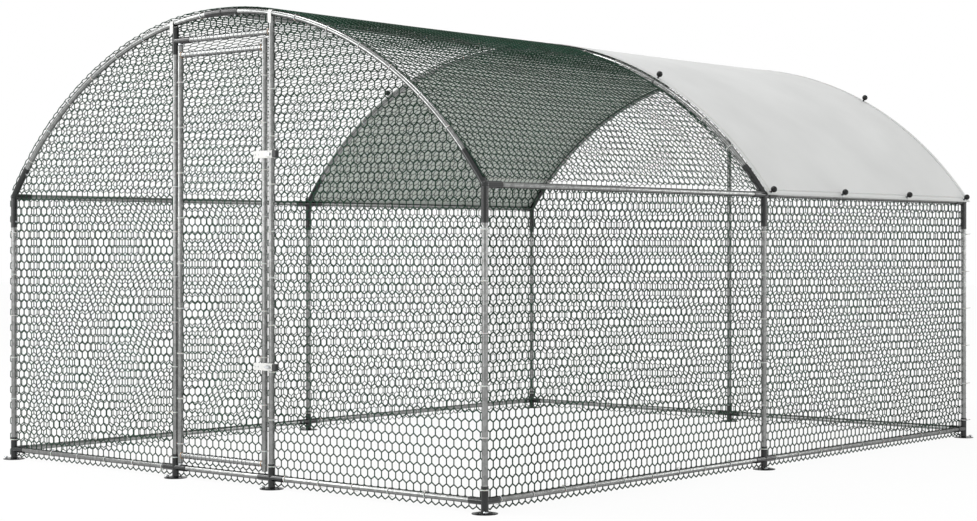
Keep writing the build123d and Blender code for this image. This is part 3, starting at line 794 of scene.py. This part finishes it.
# %% Turned shapes and rings
def sleeve_faces(rings, sides):
    """The faces of a sleeve: walls between one ring of points and the next, and a cap on each end."""
    index = np.arange(rings * sides).reshape(rings, sides)
    ahead = np.roll(index, -1, axis=1)
    walls = np.stack([index[:-1], ahead[:-1], ahead[1:], index[1:]], -1).reshape(-1, 4)
    return walls.tolist() + [index[0, ::-1].tolist(), index[-1].tolist()]


def hoop_faces(segments, sides):
    """The faces of a closed hoop, whose points go round each section before the next."""
    index = np.arange(segments * sides).reshape(segments, sides)
    ahead = np.roll(index, -1, axis=0)
    walls = np.stack([index, ahead, np.roll(ahead, -1, axis=1), np.roll(index, -1, axis=1)], -1)
    return walls.reshape(-1, 4).tolist()


def turned(profile, segments):
    """Turns a profile of (radius, height) points round Z."""
    turn = 2 * np.pi * np.arange(segments) / segments
    points = [(r * math.cos(a), r * math.sin(a), h) for r, h in profile for a in turn]
    return np.array(points), sleeve_faces(len(profile), segments)


def ring(radius, section, segments, sides, flat=1.0):
    """A ring round Z with a round section, or one flattened along Z."""
    points = []
    for i in range(segments):
        a = 2 * math.pi * i / segments
        for k in range(sides):
            b = 2 * math.pi * k / sides
            r = radius + section * math.cos(b)
            points.append((r * math.cos(a), r * math.sin(a), section * flat * math.sin(b)))
    return np.array(points), hoop_faces(segments, sides)


print("a hoop of 26 by 8 points has", len(hoop_faces(26, 8)), "faces")

# %% Glossy plastic and shock cord
gloss_black, tree, shader, place = new_finish(
    "gloss_black_polypropylene", {"Roughness": 0.10, "IOR": 1.49, "Specular IOR Level": 0.3}
)
mottle(tree, shader, place, 6, 2.0, {0.0: "#0d0e0e", 1.0: "#1a1b1b"})
shock_cord, tree, shader, place = new_finish("braided_shock_cord", {"Roughness": 0.7, "Sheen Weight": 0.2})
braid = add_node(tree, "ShaderNodeTexWave", {"wave_type": "BANDS", "bands_direction": "DIAGONAL"},
                 {"Vector": place, "Scale": per_metre(3) / BAND, "Distortion": 1.0})
add_node(tree, "ShaderNodeValToRGB", {"tones": {0.0: "#101111", 1.0: "#2a2c2c"}},
         {"Fac": braid.outputs["Fac"]}, {"Color": shader.inputs["Base Color"]})
print("tie finishes", gloss_black.name, shock_cord.name)

# %% Ball ties
cord_r, cord_gap = 0.0013, 0.0014
ball_r = 0.015
ball_angles = np.linspace(-1.25, 1.45, 15)
ball_neck = 0.006
ball_profile = [(0.0045, -ball_r - ball_neck), (0.0040, -ball_r - 0.001), (0.0055, -ball_r * 0.97)]
ball_profile += [(ball_r * math.cos(a), ball_r * math.sin(a)) for a in ball_angles]
ball = turned(ball_profile, 28)
arch_tie_angle = math.asin(0.880 / arch_r)
tie_spots = [(y, sign * eave_angle, False) for sign in (-1, 1) for y in tie_y]
tie_spots += [(y, sign * arch_tie_angle, True) for sign in (-1, 1) for y in (0.0, rear_y)]
balls, cords, eyelets = [], [], []
for y, angle, round_arch in tie_spots:
    out = Vector((math.sin(angle), 0, math.cos(angle)))
    axis = Vector((0, y, arch_z)) + out * arch_r
    beside_joint = not round_arch and min(y, rear_y - y) < 0.12
    hold_r = 0.015 if beside_joint else tube_r
    along = Vector((math.cos(angle), 0, -math.sin(angle))) if round_arch else Vector((0, 1, 0))
    seat = cover_gap + 0.0022
    behind = Vector((0, hold_r + cord_gap, 0)) if y == 0.0 else Vector()
    stem_low = 0.0 if y == 0.0 else hold_r
    balls.append(put(ball, basis(axis + behind + out * (seat + ball_neck + ball_r), (0, 1, 0), out)))
    if round_arch or beside_joint:
        cords.append(put(ring(hold_r + cord_gap, cord_r, 26, 6), basis(axis, out, along)))
    else:
        slack = Matrix.Diagonal((1.24, 1.79, 1.0, 1.0))
        outward = Vector((math.copysign(1, angle), 0, 0))
        loose_end = axis + outward * 0.003 + Vector((0, 0, -0.010))
        cords.append(put(ring(0.0145, 0.0011, 30, 6), basis(loose_end, outward, along) @ slack))
    for shift in (-1, 1):
        stem = turned([(cord_r, 0.0), (cord_r, seat - stem_low + 0.002)], 8)
        root = axis + behind + out * stem_low + along.cross(out) * 0.0016 * shift
        cords.append(put(stem, basis(root, (0, 1, 0), out)))
    eyelet = basis(axis + behind + out * (cover_gap + 0.0016), (0, 1, 0), out)
    eyelets.append(put(ring(0.0085, 0.0026, 26, 8, 0.5), eyelet))
make_piece("tie_balls", gather(balls), gloss_black, "frame", ["cover_ties"])
make_piece("tie_cords", gather(cords), shock_cord, "frame")
eyelet_piece = make_piece("cover_eyelets", gather(eyelets), plated, "frame")
print("ball ties", len(balls))

# %% [markdown]
# The netting is tied to posts, arches, base rails and ridge with nylon cable ties, about one each 200 mm.
# A tie is a thin band that goes round the tube and the wire, a square head, and a tail that was left on.
# They are one small shape, copied along the tubes and turned a little differently each time, with a fixed
# seed so that each run of this script gives the same picture.

# %% One cable tie
rng = np.random.default_rng(7)
TIE_EVERY = 0.2
TUBE_SNUG, SLEEVE_SNUG = 0.0136, 0.0161
frame_bulge, door_bulge, ridge_bulge = 0.0064, 0.0026, 0.0008


def cable_tie(spin, tail_length, bulge, snug):
    """A tie round Z, drawn out over the netting towards +X. Its head sits at the angle spin."""
    def reach(angle):
        return snug + bulge * max(0.0, math.cos(angle)) ** 3

    segments, width, thick = 18, 0.0042, 0.0012
    points = []
    for i in range(segments):
        a = 2 * math.pi * i / segments
        for layer, z in ((0, -1), (1, -1), (1, 1), (0, 1)):
            r = reach(a) + layer * thick
            points.append((r * math.cos(a), r * math.sin(a), z * width / 2))
    band = np.array(points), hoop_faces(segments, 4)
    out = Vector((math.cos(spin), math.sin(spin), 0))
    head = put(box_shape((0.0055, 0.0062, 0.0058)), basis(out * (reach(spin) + 0.0025), (0, 0, 1), out))
    tail_way = (out * 0.3 + Vector((-out.y, out.x, 0)) + Vector((0, 0, 0.1))).normalized()
    tail_middle = out * (reach(spin) + 0.004) + tail_way * tail_length / 2
    tail = put(box_shape((0.0012, 0.0036, tail_length)), basis(tail_middle, out, tail_way))
    return gather([band, head, tail])


def next_tie(spins, bulge, snug):
    """One tie with its head turned and its tail cut a little differently each time."""
    return cable_tie(rng.choice(spins) * rng.uniform(1.4, 1.8), rng.uniform(0.018, 0.028), bulge, snug)


def tie_along(start, end, outward, spins=(-1, 1), bulge=frame_bulge, on_sleeve=False):
    """Cable ties along a tube, with the netting outward. On a post the first sits on the sleeve."""
    start, run = Vector(start), Vector(end) - Vector(start)
    made = []
    for place in np.arange(0.0, run.length - 0.02, TIE_EVERY):
        at = start + run.normalized() * (place + rng.uniform(0.0, 0.005))
        snug = SLEEVE_SNUG if on_sleeve and place == 0.0 else TUBE_SNUG
        made.append(put(next_tie(spins, bulge, snug), basis(at, outward, run)))
    return made


print("a tie each", TIE_EVERY * 1000, "mm")

# %% Ties along the tubes
frame_ties, door_ties = [], []
back, left, up = (0, 1, 0), (-1, 0, 0), (0, 0, 1)
post_foot, post_head = 0.092, eave_z - 0.09
door_post_head, rear_post_head = 1.86, 1.93
rail_start, ridge_start, rail_end = 0.084, 0.09, 1.89
for sign in (-1, 1):
    x = sign * half_width
    for y, facing, spin in ((front_y, left, 1), (0.0, left, 1), (rear_y, back, -sign)):
        frame_ties += tie_along((x, y, post_foot), (x, y, post_head), facing, [spin], on_sleeve=True)
    for y0 in (front_y, 0.0):
        frame_ties += tie_along((x, y0 + rail_start, base_z), (x, y0 + rail_end, base_z), left)
    x = sign * door_post_x
    foot, head = (x, front_y, post_foot), (x, front_y, door_post_head)
    frame_ties += tie_along(foot, head, back, [-sign], on_sleeve=True)
    for y, first in ((front_y, door_post_x), (rear_y, 0.0)):
        inner, outer = sign * (first + rail_start), sign * (half_width - 0.09)
        frame_ties += tie_along((inner, y, base_z), (outer, y, base_z), back)
frame_ties += tie_along((0, rear_y, post_foot), (0, rear_y, rear_post_head), back, on_sleeve=True)
for y0 in (front_y, 0.0):
    start, end = (0, y0 + ridge_start, ridge_z), (0, y0 + rail_end, ridge_z)
    frame_ties += tie_along(start, end, up, [1], ridge_bulge)
strap_angle = math.asin(door_post_x / arch_r)
for y in (front_y, 0.0, rear_y):
    for angle in np.arange(-eave_angle + 0.12, eave_angle - 0.1, TIE_EVERY / arch_r):
        near_strap = y == front_y and abs(abs(angle) - strap_angle) < 0.03
        near_ball = y >= 0.0 and abs(abs(angle) - arch_tie_angle) < 0.03
        if abs(angle) < 0.07 or near_strap or near_ball:
            continue
        out = Vector((math.sin(angle), 0, math.cos(angle)))
        at = Vector((0, y, arch_z)) + out * arch_r
        down_arch = Vector((-math.cos(angle), 0, math.sin(angle)))
        tie = cable_tie(rng.uniform(-0.4, 0.4), 0.006, frame_bulge, TUBE_SNUG)
        frame_ties.append(put(tie, basis(at, back, down_arch)))
stile_left, stile_right = door_low.x + 0.008, door_high.x
rail_low, rail_high = 0.103, door_high.z - tube_r
for x, spin in ((stile_left, -1), (stile_right, 1)):
    foot, head = (x, front_y, rail_low + 0.05), (x, front_y, rail_high - 0.03)
    door_ties += tie_along(foot, head, back, [spin], door_bulge)
make_piece("cable_ties_frame", gather(frame_ties), nylon, "frame", smooth=False)
make_piece("cable_ties_door", gather(door_ties), nylon, "door", smooth=False)
print("cable ties", len(frame_ties), "on the frame,", len(door_ties), "on the door")

# %% [markdown]
# Along the lintel and the door's two rails the netting is not tied but laced: a galvanised binding wire is
# wound round tube and netting, a turn each 26 mm, and shows as slanting ticks on the bright tube.
# The wire is a helix, and at each of its points a small ring of corners across it gives it thickness.

# %% Lacing wire
def wound_wire(start, end, radius, turn_length, wire_r, steps=14, sides=5):
    """A wire wound round a straight tube that runs along +X."""
    turns = (end[0] - start[0]) / turn_length
    t = np.linspace(0, 2 * np.pi * turns, int(turns * steps))
    lean = turn_length / (2 * np.pi * radius)
    radial = np.stack([0 * t, -np.cos(t), np.sin(t)], 1)
    along = np.stack([lean + 0 * t, np.sin(t), np.cos(t)], 1) / math.hypot(1, lean)
    across = np.cross(along, radial)
    centre = np.asarray(start) + radial * radius + np.outer(t / (2 * np.pi) * turn_length, (1, 0, 0))
    corner = 2 * np.pi * np.arange(sides) / sides
    points = centre[:, None] + wire_r * (np.cos(corner)[:, None] * radial[:, None]
                                         + np.sin(corner)[:, None] * across[:, None])
    return points.reshape(-1, 3), sleeve_faces(len(t), sides)


lacing_r, lacing_turn, lacing_wire = tube_r + 0.0012, 0.026, 0.0012


def laced(x0, x1, z):
    """Lacing round a front tube at height z, from x0 to x1."""
    return wound_wire((x0, front_y, z), (x1, front_y, z), lacing_r, lacing_turn, lacing_wire)


lintel_lacing = laced(-door_post_x + 0.106, door_post_x - 0.018, lintel_z)
door_lacing = [laced(stile_left + 0.019, stile_right - 0.019, z) for z in (rail_low, rail_high)]
make_piece("lintel_lacing", lintel_lacing, plated, "frame")
make_piece("door_lacing", gather(door_lacing), plated, "door")
print("lacing faces", len(lintel_lacing[1]) + sum(len(shape[1]) for shape in door_lacing))

# %% [markdown]
# Small fasteners finish the frame: a domed ground peg in the outward hole of each foot plate, hexagon
# screws that lock tubes in their sleeves, and the rivets of the hasp plates. They are turned shapes, with
# a six-sided head for the screws. The welds of the lintel and door frame are beads with the brown tint
# that heat leaves in zinc.

# %% Ground pegs
peg_profile = [(0.0036, 0.0), (0.0036, 0.0075), (0.0105, 0.0078), (0.0108, 0.0092), (0.0085, 0.0118),
               (0.0045, 0.0136), (0.001, 0.0141)]
peg = turned(peg_profile, 20)
pegs = []
corner_pegs = [(sign * half_width, y, sign, way) for y, way in ((front_y, -1), (rear_y, 1), (0, -1))
               for sign in (-1, 1)]
other_pegs = [(-door_post_x, front_y, -1, -1), (door_post_x, front_y, -1, -1), (0, rear_y, 1, 1)]
for x, y, *way in corner_pegs + other_pegs:
    shift = Vector((*way, 0)).normalized() * 0.038
    pegs.append(put(peg, Matrix.Translation(Vector((x, y, 0.001)) + shift)))
make_piece("ground_pegs", gather(pegs), plated, "frame")
print("pegs", len(pegs))

# %% Screws
screw = gather([turned([(0.0052, 0.0), (0.0052, 0.0012), (0.001, 0.0013)], 16),
                put(turned([(0.0042, 0.0), (0.0042, 0.0032), (0.0030, 0.0040), (0.0008, 0.0041)], 6),
                    Matrix.Translation((0, 0, 0.0012)))])
screws = []
sleeve_r, branch_r = 0.015, 0.0147
# How far from its joint each screw sits: on post, arch, eave, base and ridge sleeves.
on_post, on_arch, on_eave, on_base, on_ridge = 0.12, 0.145, 0.075, 0.058, 0.08
for sign in (-1, 1):
    inward = Vector((-sign, 0, 0))
    for y in (front_y, 0.0, rear_y):
        x = sign * half_width
        screws.append(put(screw, basis((x - sign * sleeve_r, y, eave_z - on_post), (0, 0, 1), inward)))
        angle = sign * (eave_angle - on_arch / arch_r)
        into = Vector((-math.sin(angle), 0, -math.cos(angle)))
        at = Vector((0, y, arch_z)) - into * (arch_r - sleeve_r)
        screws.append(put(screw, basis(at, (0, 1, 0), into)))
        for way in ([1] if y == front_y else [-1] if y == rear_y else [-1, 1]):
            under_eave = (x, y + way * on_eave, eave_z - branch_r)
            beside_base = (x - sign * branch_r, y + way * on_base, base_z)
            screws.append(put(screw, basis(under_eave, (1, 0, 0), (0, 0, -1))))
            screws.append(put(screw, basis(beside_base, (0, 0, 1), inward)))
for y in (front_y, 0.0, rear_y):
    for sign in (-1, 1):
        angle = sign * on_ridge / arch_r
        into = Vector((-math.sin(angle), 0, -math.cos(angle)))
        at = Vector((0, y, arch_z)) - into * (arch_r - sleeve_r)
        screws.append(put(screw, basis(at, (0, 1, 0), into)))
make_piece("fitting_screws", gather(screws), plated, "frame", smooth=False)
print("screws", len(screws))

# %% Rivets and welds
rivet = turned([(0.0034, 0.0), (0.0032, 0.0011), (0.0022, 0.0018), (0.0006, 0.0021)], 14)
rivets = []
for node in ("hasp_upper", "hasp_lower"):
    low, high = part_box(node)
    z = (low.z + high.z) / 2
    for x in (low.x + 0.012, low.x + 0.03):
        rivets.append(put(rivet, basis((x, low.y, z), (1, 0, 0), (0, -1, 0))))
make_piece("hasp_rivets", gather(rivets), plated, "door")

weld_bead, tree, shader, place = new_finish("heat_tinted_weld", {"Metallic": 0.6, "Roughness": 0.45})
mottle(tree, shader, place, 12, 3.0, {0.35: "#a9794e", 0.65: "#c9b8a2"})
bead = ring(0.0128, 0.0021, 26, 8, 0.8)
frame_beads = [put(bead, basis((door_post_x - tube_r - 0.0005, front_y, lintel_z), (0, 0, 1), (1, 0, 0)))]
door_beads = []
for x, way in ((stile_left + tube_r, 1), (stile_right - tube_r, -1)):
    for z in (rail_low, rail_high):
        door_beads.append(put(bead, basis((x + way * 0.0005, front_y, z), (0, 0, 1), (1, 0, 0))))
make_piece("lintel_weld", gather(frame_beads), weld_bead, "frame")
make_piece("door_frame_welds", gather(door_beads), weld_bead, "door")
print("rivets", len(rivets), "welds", len(frame_beads) + len(door_beads))

# %% [markdown]
# Last, the box of the dressed model is printed, because dressing must not change the size.

# %% Print the dressed box and finish
low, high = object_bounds()
print("visual box", [round(v, 3) for v in low], [round(v, 3) for v in high])
